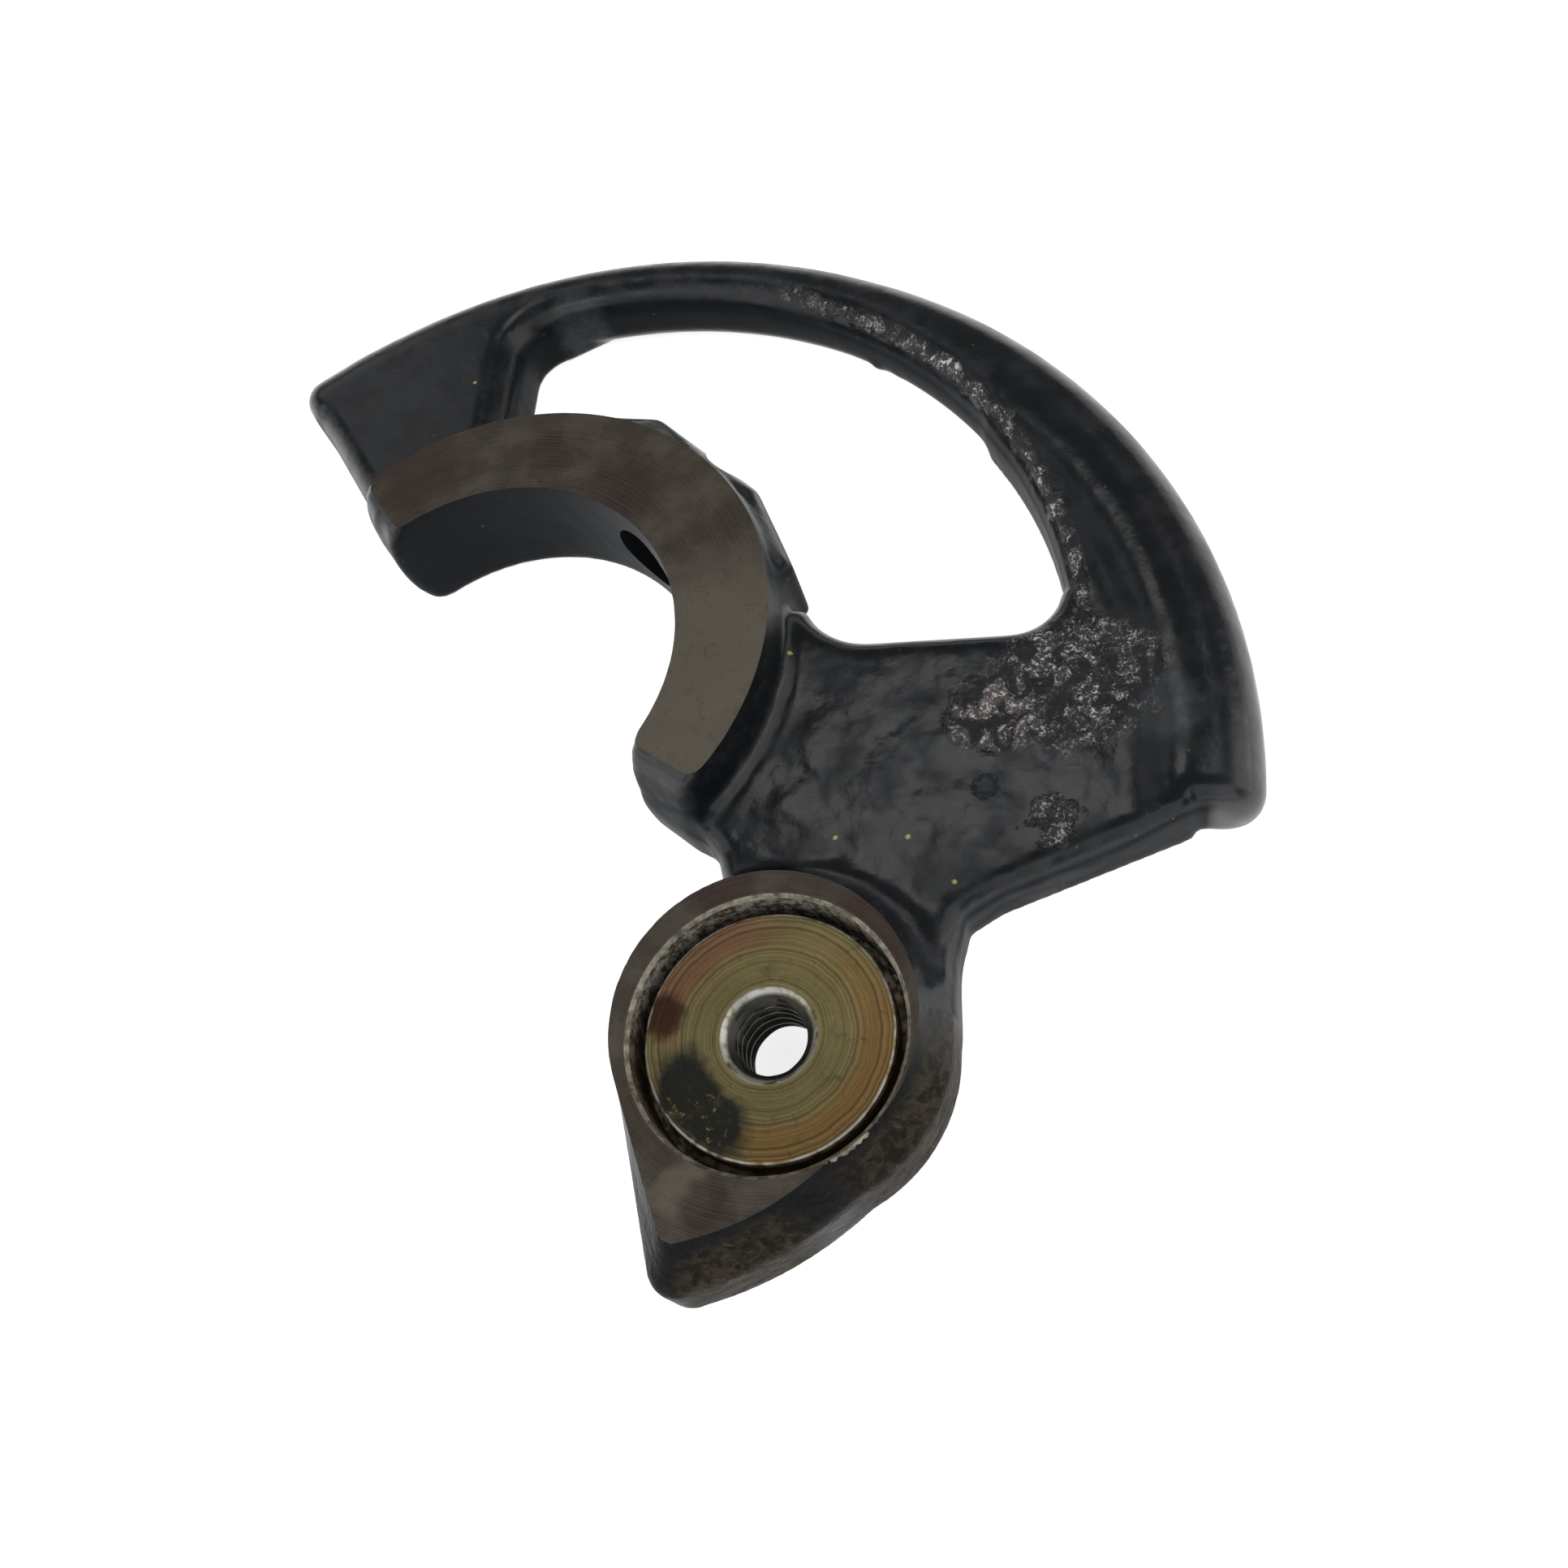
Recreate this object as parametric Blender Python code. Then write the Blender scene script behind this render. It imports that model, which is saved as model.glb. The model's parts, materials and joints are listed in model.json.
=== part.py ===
"""Swing lever of a window sash lock: a cast lever turning on a flanged pivot bush.

The casting lies on its flat back, on Z = 0, with its machined faces up. The lever turns about
the vertical axis of the bush. The origin is under the middle of the box of the whole part.
All lengths below are in millimetres in the plane of the lever, measured from the pivot axis.
"""

import math

import bmesh
import bpy
from mathutils import Matrix, Vector

MM = 0.001

# Where the pivot axis stands in the part's frame.
PIVOT_X = 8.52
PIVOT_Y = -29.35

# Heights above the flat back.
WEB_TOP = 5.5
RIM_TOP = 6.8
BOSS_TOP = 8.3
HOOK_TOP = 10.9

# Finger grip: a rounded rim on a circular arc, wider towards its lower right end.
GRIP_CENTRE = Vector((-19.2, 22.4))
GRIP_RADIUS = 53.9
GRIP_START = -6.0
GRIP_END = 129.0
GRIP_STEPS = 64
RIM_INNER_CENTRE = Vector((-19.4, 30.6))
RIM_INNER_RADIUS = 40.4
RIM_WIDEST = 8.8
RIM_ROUND = 3.2
RIM_CORNER_STEPS = 5

# Finger window between the rim, the web and the hook.
WINDOW_LEFT = -29.6
WINDOW_FLOOR = 33.2
WINDOW_RIGHT = 20.2
WINDOW_CORNER = 4.0
WINDOW_SHOULDER = 66.6
SHOULDER_CORNER = 3.4
WEB_ROUND = 1.6

# Hook: part of a ring that closes round a 32 mm post.
HOOK_CENTRE = Vector((-25.2, 30.4))
HOOK_BORE_RADIUS = 16.0
HOOK_OUTER_CENTRE = Vector((-24.0, 32.0))
HOOK_OUTER_RADIUS = 22.4
HOOK_START = -32.0
HOOK_END = 127.0
HOOK_ROUND = 1.2

# Both ends of the hook swell by up to this angle below its face, most at these heights.
HOOK_SWELL = 6.0
START_SWELL_HEIGHT = 3.9
END_SWELL_HEIGHT = 5.4
HOOK_LEVELS = 8

# Pad and cross hole through the hook's wall.
PAD_REACH = 26.2
PAD_LOW = -12.0
PAD_HIGH = 8.8
PAD_TOP = 8.6
CROSS_HOLE_RADIUS = 3.1
CROSS_HOLE_ANGLE = (HOOK_START + HOOK_END) / 2

# Boss with its cam nose: a wide foot drawn in to a smaller machined face.
BOSS_FOOT_CENTRE = Vector((0.5, 0.0))
BOSS_FOOT_RADIUS = 12.2
BOSS_FACE_CENTRE = Vector((-0.4, 0.9))
BOSS_FACE_RADIUS = 11.1
BOSS_SHOULDER = 5.6
BOSS_FOOT_ROUND = 0.9
NOSE_FOOT = Vector((-5.7, -15.6))
NOSE_FOOT_RADIUS = 2.0
NOSE_FACE = Vector((-5.2, -13.3))
NOSE_FACE_RADIUS = 1.2
NOSE_BULGE = 0.2
NOSE_HOLLOW = 0.8

# Pocket, washer and bush.
POCKET_RADIUS = 9.9
POCKET_FLOOR = 3.6
POCKET_CHAMFER = 0.3
BORE_RADIUS = 6.3
CLEARANCE = 0.3
WASHER_RADIUS = 9.5
WASHER_THICKNESS = 0.6
HEAD_RADIUS = 9.05
HEAD_TOP = 7.25
HEAD_CHAMFER = 0.3
THREAD_MAJOR = 3.175
THREAD_MINOR = 2.6
THREAD_PITCH = 1.27
ROUND_STEPS = 72


def clear_scene():
    """Remove every object of the scene this file is run in."""
    for item in list(bpy.data.objects):
        bpy.data.objects.remove(item, do_unlink=True)


def material(name, colour, roughness, metallic):
    """A plain Principled material."""
    made = bpy.data.materials.new(name)
    made.use_nodes = True
    shader = made.node_tree.nodes["Principled BSDF"]
    shader.inputs["Base Color"].default_value = (*colour, 1.0)
    shader.inputs["Roughness"].default_value = roughness
    shader.inputs["Metallic"].default_value = metallic
    return made


def place(point, height):
    """A point of the lever's plane, given in millimetres from the pivot, in the part's frame."""
    return Vector(((point[0] + PIVOT_X) * MM, (point[1] + PIVOT_Y) * MM, height * MM))


def polar(radius, degrees):
    """A point of the lever's plane at an angle from +X."""
    return Vector((radius * math.cos(math.radians(degrees)), radius * math.sin(math.radians(degrees))))


def arc(centre, radius, start, end, steps):
    """Points on an arc from one angle to another, both ends included."""
    return [centre + polar(radius, start + (end - start) * i / steps) for i in range(steps + 1)]


def new_object(name, mesh):
    """Link a mesh to the scene as an object whose faces point out."""
    work = bmesh.new()
    work.from_mesh(mesh)
    bmesh.ops.recalc_face_normals(work, faces=work.faces)
    work.to_mesh(mesh)
    work.free()
    item = bpy.data.objects.new(name, mesh)
    bpy.context.scene.collection.objects.link(item)
    return item


def loft(name, levels):
    """A solid through outlines with the same number of points, each at its height."""
    count = len(levels[0][0])
    points = [place(p, height) for outline, height in levels for p in outline]
    faces = [tuple(range(count)), tuple(range(len(points) - count, len(points)))]
    for start in range(0, len(points) - count, count):
        for i in range(count):
            after = (i + 1) % count
            faces.append((start + i, start + after, start + count + after, start + count + i))
    mesh = bpy.data.meshes.new(name)
    mesh.from_pydata(points, [], faces)
    return new_object(name, mesh)


def plate(name, outline, low, high, rounding=0.0):
    """An outline extruded between two heights, with its sharp edges rounded."""
    item = loft(name, [(outline, low), (outline, high)])
    if rounding:
        bevel = item.modifiers.new("round", "BEVEL")
        bevel.width = rounding * MM
        bevel.segments = 4
        bevel.limit_method = "ANGLE"
        bevel.angle_limit = math.radians(40.0)
    return item


def turned(name, profile, steps=ROUND_STEPS):
    """A solid of revolution about the pivot axis from a closed (radius, height) profile."""
    mesh = bpy.data.meshes.new(name)
    work = bmesh.new()
    corners = [work.verts.new((radius * MM, 0.0, height * MM)) for radius, height in profile]
    edges = [work.edges.new((corners[i - 1], corners[i])) for i in range(len(corners))]
    bmesh.ops.spin(
        work, geom=corners + edges, cent=(0, 0, 0), axis=(0, 0, 1), angle=math.tau, steps=steps,
        use_merge=True,
    )
    work.transform(Matrix.Translation(place((0, 0), 0)))
    work.to_mesh(mesh)
    work.free()
    return new_object(name, mesh)


def combine(base, tool, operation):
    """Boolean a helper solid into a base object, with the helper left as a hidden guide."""
    modifier = base.modifiers.new(f"{operation.lower()} {tool.name}", "BOOLEAN")
    modifier.operation = operation
    modifier.solver = "EXACT"
    modifier.object = tool
    tool.hide_render = True
    tool.display_type = "WIRE"


def rim_width(degrees):
    """Width of the rim between its outer arc and the window's arc, seen from the grip's centre."""
    heading = polar(1.0, degrees)
    offset = RIM_INNER_CENTRE - GRIP_CENTRE
    along = offset.dot(heading)
    inner = along + math.sqrt(RIM_INNER_RADIUS**2 - offset.length_squared + along**2)
    return min(GRIP_RADIUS - inner, RIM_WIDEST)


def rim_section(width):
    """Points (inset, height) round the rim's section, a rectangle with wide round corners."""
    corner = min(RIM_ROUND, width / 2 - 0.01)
    spots = []
    for inset, height, start in (
        (corner, corner, 180), (width - corner, corner, 270),
        (width - corner, RIM_TOP - corner, 0), (corner, RIM_TOP - corner, 90),
    ):
        centre = Vector((inset, height))
        spots += arc(centre, corner, start, start + 90, RIM_CORNER_STEPS)
    return spots


def build_rim():
    """The rim swept along the grip's arc, with both of its ends rounded off."""
    mesh = bpy.data.meshes.new("rim")
    work = bmesh.new()
    rings = []
    length = math.radians(GRIP_END - GRIP_START) * GRIP_RADIUS
    for i in range(GRIP_STEPS + 1):
        travel = (1 - math.cos(math.pi * i / GRIP_STEPS)) / 2
        degrees = GRIP_START + (GRIP_END - GRIP_START) * travel
        end_gap = min(travel, 1 - travel) * length
        shrink = max(0.35, math.sqrt(max(0.0, 1 - max(0.0, 1 - end_gap / RIM_ROUND) ** 2)))
        width = rim_width(degrees)
        ring = []
        for inset, height in rim_section(width):
            inset = width / 2 + (inset - width / 2) * shrink
            height = RIM_TOP / 2 + (height - RIM_TOP / 2) * shrink
            spot = GRIP_CENTRE + polar(GRIP_RADIUS - inset, degrees)
            ring.append(work.verts.new(place(spot, height)))
        rings.append(ring)
    count = len(rings[0])
    for before, after in zip(rings, rings[1:]):
        for i in range(count):
            j = (i + 1) % count
            work.faces.new((before[i], before[j], after[j], after[i]))
    work.faces.new(rings[0])
    work.faces.new(reversed(rings[-1]))
    work.to_mesh(mesh)
    work.free()
    return new_object("lever_casting", mesh)


def tip_outline():
    """The plate between the tip of the rim, the window and the hook."""
    inside = GRIP_RADIUS - RIM_ROUND
    outer = arc(GRIP_CENTRE, inside, 100.0, GRIP_END - 2.0, 8)
    end_side = [(-51.2, 62.4), (-47.2, 57.8), (-42.6, 51.2), (-39.8, 47.4), (-37.6, 44.8)]
    hook_side = arc(HOOK_CENTRE, HOOK_BORE_RADIUS + 3.5, HOOK_END - 3.0, 100.0, 8)
    corner = Vector((WINDOW_LEFT + SHOULDER_CORNER, WINDOW_SHOULDER))
    window = arc(corner, SHOULDER_CORNER, 180.0, 100.0, 8)
    return [*outer, *end_side, *hook_side, (WINDOW_LEFT, 51.0), *window, (-23.2, 71.6)]


def web_outline():
    """The web from the boss to the rim and the window, and up to the hook's wall."""
    rim_side = [(29.4, 16.9), *arc(GRIP_CENTRE, GRIP_RADIUS - 3.6, 0.0, 34.0, 12)]
    rim_side.append(RIM_INNER_CENTRE + polar(RIM_INNER_RADIUS + 2.2, 39.0))
    rim_side += arc(RIM_INNER_CENTRE, RIM_INNER_RADIUS, 34.0, 9.0, 8)
    corner = Vector((WINDOW_RIGHT - WINDOW_CORNER, WINDOW_FLOOR + WINDOW_CORNER))
    window = arc(corner, WINDOW_CORNER, 0.0, -90.0, 8)
    bay = Vector((5.2, WINDOW_FLOOR + 6.2))
    window += arc(bay, 6.2, -90.0, -155.0, 6)
    hook_side = arc(HOOK_CENTRE, HOOK_BORE_RADIUS + 3.0, 12.0, HOOK_START + 6.0, 12)
    neck = [(-11.4, 20.0), (-8.9, 17.7), (-7.2, 16.2), (-5.9, 14.4), (-5.4, 12.6), (-5.0, 9.0)]
    boss_side = [(4.0, 2.0), (11.6, 2.0), (13.2, 9.6), (15.6, 11.2)]
    return [*rim_side, *window, *hook_side, *neck, *boss_side]


def swell(height, middle):
    """How many degrees an end of the hook swells by at a height."""
    return HOOK_SWELL * math.sqrt(max(0.0, 1 - ((height - middle) / (HOOK_TOP - middle)) ** 2))


def hook_outline(height):
    """The ring sector that forms the hook, with both of its ends swelling below the face."""
    start = HOOK_START - swell(height, START_SWELL_HEIGHT)
    end = HOOK_END + swell(height, END_SWELL_HEIGHT)
    inner = arc(HOOK_CENTRE, HOOK_BORE_RADIUS, start, end, 48)
    outer = arc(HOOK_OUTER_CENTRE, HOOK_OUTER_RADIUS, end + 1.5, start - 3.5, 44)
    return inner + outer


def pad_outline():
    """The flat-ended pad on the outer side of the hook, square to the cross hole."""
    along = polar(1.0, CROSS_HOLE_ANGLE)
    across = polar(1.0, CROSS_HOLE_ANGLE + 90.0)
    root = HOOK_BORE_RADIUS + 2.0
    spots = ((root, PAD_LOW), (PAD_REACH - 3.4, PAD_LOW), (PAD_REACH, PAD_LOW + 8.0),
             (PAD_REACH, PAD_HIGH), (root, PAD_HIGH))
    return [HOOK_CENTRE + along * reach + across * side for reach, side in spots]


def bowed(start, end, sag, steps=6):
    """Points between two points on a shallow bow, which stands out of the outline for sag > 0."""
    side = Vector((end.y - start.y, start.x - end.x)).normalized()
    spots = [i / steps for i in range(1, steps)]
    return [start.lerp(end, t) + side * (4 * sag * t * (1 - t)) for t in spots]


def teardrop(centre, radius, nose, nose_radius):
    """A circle drawn out to a small round nose, with one full flank and one hollow flank."""
    reach = nose - centre
    heading = math.degrees(math.atan2(reach.y, reach.x))
    lean = math.degrees(math.acos((radius - nose_radius) / reach.length))
    body = arc(centre, radius, heading + lean, heading + 360.0 - lean, 52)
    tip = arc(nose, nose_radius, heading - lean, heading + lean, 12)
    full = bowed(body[-1], tip[0], NOSE_BULGE)
    hollow = bowed(tip[-1], body[0], -NOSE_HOLLOW)
    return [*body, *full, *tip, *hollow]


def cross_hole():
    """The round cutter for the hole that runs from the hook's bore out through the pad."""
    mesh = bpy.data.meshes.new("cross hole")
    work = bmesh.new()
    bmesh.ops.create_cone(
        work, cap_ends=True, segments=24, radius1=CROSS_HOLE_RADIUS * MM,
        radius2=CROSS_HOLE_RADIUS * MM, depth=18.0 * MM,
    )
    heading = math.radians(CROSS_HOLE_ANGLE)
    turn = Matrix.Rotation(heading, 4, "Z") @ Matrix.Rotation(math.pi / 2, 4, "Y")
    middle = HOOK_CENTRE + polar(HOOK_BORE_RADIUS + 5.0, CROSS_HOLE_ANGLE)
    work.transform(Matrix.Translation(place(middle, HOOK_TOP / 2)) @ turn)
    work.to_mesh(mesh)
    work.free()
    return new_object("cross hole", mesh)


def build_casting(enamel):
    """The one-piece lever: grip, web, hook and boss, then the machined pocket and holes."""
    casting = build_rim()
    combine(casting, plate("tip plate", tip_outline(), 0.0, RIM_TOP, WEB_ROUND), "UNION")
    steps = [(1 - math.cos(math.pi * i / HOOK_LEVELS)) / 2 for i in range(HOOK_LEVELS + 1)]
    hook = loft("hook block", [(hook_outline(HOOK_TOP * step), HOOK_TOP * step) for step in steps])
    rounded = (BOSS_FOOT_RADIUS - BOSS_FOOT_ROUND, NOSE_FOOT, NOSE_FOOT_RADIUS - BOSS_FOOT_ROUND)
    sole = teardrop(BOSS_FOOT_CENTRE, *rounded)
    foot = teardrop(BOSS_FOOT_CENTRE, BOSS_FOOT_RADIUS, NOSE_FOOT, NOSE_FOOT_RADIUS)
    face = teardrop(BOSS_FACE_CENTRE, BOSS_FACE_RADIUS, NOSE_FACE, NOSE_FACE_RADIUS)
    combine(casting, plate("web plate", web_outline(), 0.0, WEB_TOP, WEB_ROUND), "UNION")
    combine(casting, hook, "UNION")
    combine(casting, plate("pad block", pad_outline(), 0.0, PAD_TOP, HOOK_ROUND), "UNION")
    boss = loft("boss block", [
        (sole, 0.0), (foot, BOSS_FOOT_ROUND), (foot, BOSS_SHOULDER), (face, BOSS_TOP),
    ])
    combine(casting, boss, "UNION")
    lip = POCKET_RADIUS + POCKET_CHAMFER
    above = BOSS_TOP + 1.0
    pocket = [
        (0.0, -1.0), (BORE_RADIUS, -1.0), (BORE_RADIUS, POCKET_FLOOR), (POCKET_RADIUS, POCKET_FLOOR),
        (POCKET_RADIUS, BOSS_TOP - POCKET_CHAMFER), (lip, BOSS_TOP), (lip, above), (0.0, above),
    ]
    combine(casting, solid_turned("pocket cutter", pocket), "DIFFERENCE")
    combine(casting, cross_hole(), "DIFFERENCE")
    casting.data.materials.append(enamel)
    return casting


def solid_turned(name, profile):
    """A solid of revolution whose profile starts and ends on the axis."""
    item = turned(name, profile)
    work = bmesh.new()
    work.from_mesh(item.data)
    bmesh.ops.remove_doubles(work, verts=work.verts, dist=1e-6)
    bmesh.ops.dissolve_degenerate(work, dist=1e-7, edges=work.edges)
    bmesh.ops.recalc_face_normals(work, faces=work.faces)
    work.to_mesh(item.data)
    work.free()
    return item


def build_bush(plating):
    """The bush: a flat head in the pocket, a plain shank in the bore and a tapped hole."""
    head_bottom = POCKET_FLOOR + WASHER_THICKNESS + 2 * CLEARANCE
    shank = BORE_RADIUS - CLEARANCE
    mouth = THREAD_MAJOR - THREAD_MINOR
    turns = int((HEAD_TOP - 2 * mouth) / THREAD_PITCH)
    profile = [(shank, 0.0), (shank, head_bottom), (HEAD_RADIUS, head_bottom)]
    profile += [(HEAD_RADIUS, HEAD_TOP - HEAD_CHAMFER), (HEAD_RADIUS - HEAD_CHAMFER, HEAD_TOP)]
    profile += [(THREAD_MAJOR, HEAD_TOP)]
    height = HEAD_TOP - mouth
    for _ in range(turns):
        profile += [(THREAD_MINOR, height), (THREAD_MAJOR, height - THREAD_PITCH / 2)]
        height -= THREAD_PITCH
    profile += [(THREAD_MINOR, height), (THREAD_MAJOR, 0.0)]
    bush = turned("pivot_bush", profile)
    bush.data.materials.append(plating)
    return bush


def build_washer(steel):
    """The thin washer between the bush's head and the pocket's floor."""
    low = POCKET_FLOOR + CLEARANCE
    high = low + WASHER_THICKNESS
    inner = BORE_RADIUS + CLEARANCE
    profile = [(inner, low), (WASHER_RADIUS, low), (WASHER_RADIUS, high), (inner, high)]
    washer = turned("thrust_washer", profile)
    washer.data.materials.append(steel)
    return washer


def hang_on_pivot(lever, turning, fixed):
    """Parent the fixed pieces and the turning lever to empties that stand on the pivot axis."""
    for empty_name, members in ((lever, turning), ("pivot_axis", fixed)):
        empty = bpy.data.objects.new(empty_name, None)
        empty.location = place((0, 0), 0)
        bpy.context.scene.collection.objects.link(empty)
        bpy.context.view_layer.update()
        for item in members:
            item.parent = empty
            item.matrix_parent_inverse = empty.matrix_world.inverted()


def shade(item):
    """Shade round surfaces smooth and keep real edges sharp."""
    item.data.shade_smooth()
    item.data.set_sharp_from_angle(angle=math.radians(35.0))


def main():
    """Build the three pieces of the lever assembly."""
    clear_scene()
    casting = build_casting(material("black enamel on cast iron", (0.022, 0.022, 0.024), 0.35, 0.0))
    bush = build_bush(material("yellow passivated steel", (0.17, 0.13, 0.06), 0.42, 1.0))
    washer = build_washer(material("plain steel", (0.28, 0.27, 0.25), 0.45, 1.0))
    hang_on_pivot("lever_axis", [casting], [bush, washer])
    for item in (casting, bush, washer):
        shade(item)


main()
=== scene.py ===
"""The looks of the sash lock lever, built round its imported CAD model.

The lever's CAD solid is replaced by one fine casting with cast fillets, which is then machined
like the real one. The pivot bush gets a true helical thread, and the washer a worn finish.
Shapes are worked out in millimetres from the pivot axis, with Z = 0 on the lever's flat back.
"""

import json
import math

import bmesh
import bpy
import numpy as np
from mathutils import Matrix, Vector


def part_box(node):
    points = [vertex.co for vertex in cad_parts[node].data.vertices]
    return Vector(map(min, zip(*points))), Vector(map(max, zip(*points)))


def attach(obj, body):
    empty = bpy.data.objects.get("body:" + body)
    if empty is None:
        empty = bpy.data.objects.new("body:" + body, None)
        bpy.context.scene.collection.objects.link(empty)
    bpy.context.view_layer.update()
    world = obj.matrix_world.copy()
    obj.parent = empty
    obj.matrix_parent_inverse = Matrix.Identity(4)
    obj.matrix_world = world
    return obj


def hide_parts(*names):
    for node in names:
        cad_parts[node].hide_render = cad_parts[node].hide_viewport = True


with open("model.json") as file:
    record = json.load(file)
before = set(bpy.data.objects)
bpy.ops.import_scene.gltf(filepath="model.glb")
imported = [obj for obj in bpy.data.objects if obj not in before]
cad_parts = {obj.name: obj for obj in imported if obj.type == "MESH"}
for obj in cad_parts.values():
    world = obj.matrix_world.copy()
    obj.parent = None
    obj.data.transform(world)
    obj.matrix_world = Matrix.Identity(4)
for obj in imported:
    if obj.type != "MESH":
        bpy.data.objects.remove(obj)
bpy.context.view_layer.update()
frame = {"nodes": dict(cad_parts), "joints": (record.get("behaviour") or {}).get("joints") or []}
MM = 0.001
PIVOT = Vector(frame["joints"][0]["pos_m"])
LEVER_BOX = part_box("lever_casting")
BUSH_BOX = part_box("pivot_bush")

# Heights above the flat back.
HOOK_TOP = LEVER_BOX[1].z / MM
BUSH_TOP = BUSH_BOX[1].z / MM
WEB_TOP = 5.5
RIM_TOP = 6.8
BOSS_TOP = 8.3
PAD_TOP = 8.6

# Distances from the grip's centre between which the web's face rises to the rim's.
SLOPE_START = 43.6
SLOPE_END = 48.6

# Finger grip.
GRIP_CENTRE = np.array((-19.2, 22.4))
GRIP_RADIUS = 53.85
GRIP_START = -6.0
GRIP_END = 128.3
RIM_ROUND = 3.1
RIM_WIDEST = 8.8
RIM_END_ROUND = 2.2
TIP_ROUND = 3.0
WINDOW_CENTRE = np.array((-19.4, 30.6))
WINDOW_RADIUS = 40.4
WINDOW_LEFT = -29.6
WINDOW_FLOOR = 33.2
WINDOW_RIGHT = 20.2
WINDOW_CORNER = 4.0
SHOULDER_CORNER = 3.4
SHOULDER_HEIGHT = 66.6
BAY_RADIUS = 6.2
WEB_ROUND = 1.8
WEB_FILLET = 0.5

# Hook.
HOOK_CENTRE = np.array((-25.2, 30.4))
HOOK_BORE = 16.0
HOOK_OUTER_CENTRE = np.array((-24.0, 32.0))
HOOK_OUTER_RADIUS = 22.35
HOOK_START = -32.0
HOOK_END = 127.0
HOOK_ROUND = 1.1
HOOK_FILLET = 1.8
HOOK_SWELL = 2.1
START_SWELL_HEIGHT = 3.9
END_SWELL_HEIGHT = 5.4
CROSS_HOLE_RADIUS = 3.1
CROSS_HOLE_LENGTH = 20.0
CROSS_HOLE_ANGLE = (HOOK_START + HOOK_END) / 2
PAD_ROUND = 2.0
PAD_FILLET = 1.8
BORE_ROUND = 0.6
BORE_CHAMFER = 0.16

# Boss, pocket and bush.
BOSS_FOOT = (np.array((0.5, 0.0)), 12.2, np.array((-5.7, -15.6)), 2.0)
BOSS_FACE = (np.array((-0.4, 0.9)), 11.1, np.array((-5.2, -13.3)), 1.2)
BOSS_SHOULDER = 5.6
BOSS_FILLET = 2.0
NOSE_HOLLOW = 0.8
POCKET_RADIUS = 9.9
POCKET_CHAMFER = 0.3
POCKET_FLOOR = 3.6
BORE_RADIUS = 6.3
HEAD_RADIUS = (BUSH_BOX[1].x - BUSH_BOX[0].x) / MM / 2
SHANK_RADIUS = 6.0
HEAD_BOTTOM = 4.8
THREAD_MAJOR = 3.175
THREAD_MINOR = 2.6
THREAD_PITCH = 1.27
THREAD_STEP = 0.127
THREAD_LEAD_IN = 0.3
GROOVE_HALF_WIDTH = 0.42

# The back edge of the casting, and the stock left on its faces for machining.
BACK_ROUND = 0.8
HOOK_STOCK = 0.8
BOSS_STOCK = 0.6

# Casting burrs: centre and radius.
BURRS = (
    (-37.5, 45.4, 9.4, 0.9), (-36.9, 44.4, 8.6, 0.7), (4.2, 64.3, 2.0, 0.7), (6.3, 63.0, 2.4, 0.7),
)
BURR_FILLET = 0.5

# Meshing: the casting's grid, the reach of a slope probe, and rounds of smoothing.
GRID_STEP = 0.4
GRID_MARGIN = 1.4
PROBE = 0.02
SMOOTH_ROUNDS = 6
BUSH_SIDES = 96
SHARP_EDGE = 32.0

# Marks on the enamel, some of them painted sheen and glints: centre, radius, how far the edge wanders, and
# how finely.
CRINKLE_RIGHT = ((21.4, 28.2), 5.2, 2.6, 0.35)
CRINKLE_LEFT = ((15.2, 25.6), 3.2, 1.8, 0.45)
CRINKLE_LOW = ((19.4, 16.6), 1.7, 2.4, 0.8)
RIM_SHEEN = ((28.0, 24.8), 2.4, 1.2, 0.5)
TIP_SHEEN = ((-24.6, 70.6), 2.2, 1.2, 0.6)
STAIN = ((10.5, 25.0), 1.15, 0.4, 1.2)
DENT = ((14.7, 19.5), 0.9, 0.9, 0.8)
FLECKS = ((3.5, 15.7), (9.0, 15.6), (12.5, 11.9), (-1.0, 31.7), (-33.0, 62.5))

# How much of a patch's radius its soft edge takes.
PATCH_SOFTNESS = 0.35

# Brown patches on the bare faces, each a centre and a radius, and the brightest part of each face.
HOOK_PATCHES = (((-34.0, 49.5), 4.2), ((-15.5, 44.5), 3.4), ((-22.0, 50.0), 2.0))
HOOK_BRIGHT = ((-5.0, 26.0), 11.0)
BOSS_PATCHES = (((8.0, 7.8), 3.4), ((-4.0, 11.0), 2.6), ((-3.5, -12.0), 1.6))
BOSS_BRIGHT = ((-5.0, -11.0), 2.0)

# The boss's wall: where it is worn, and the foot of the nose, where it isn't.
WORN_SIDE = ((12.4, -6.0), 7.4, 1.8, 0.5)
WORN_NOSE = ((-1.6, -15.6), 5.4, 1.0, 0.6)
KEPT_FOOT = ((-7.9, -14.9), 3.2, 0.5, 0.8)
SCRATCH_ANGLE = -38.0

# Coloured and dark patches on the bush's head.
BUSH_RED = ((-5.2, 5.0), 5.6, 1.4, 0.5)
BUSH_ORANGE = ((5.6, -4.0), 9.4, 1.6, 0.5)
BUSH_BLACK = ((-5.4, -3.6), 2.7, 1.5, 0.6)
BUSH_BLACK_LOW = ((-3.4, -6.4), 2.3, 1.5, 0.6)
BUSH_BROWN = ((-7.9, 1.4), 1.6, 0.7, 1.0)
BUSH_YELLOW = ((-5.6, -6.6), 3.0, 1.0, 0.8)

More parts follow.
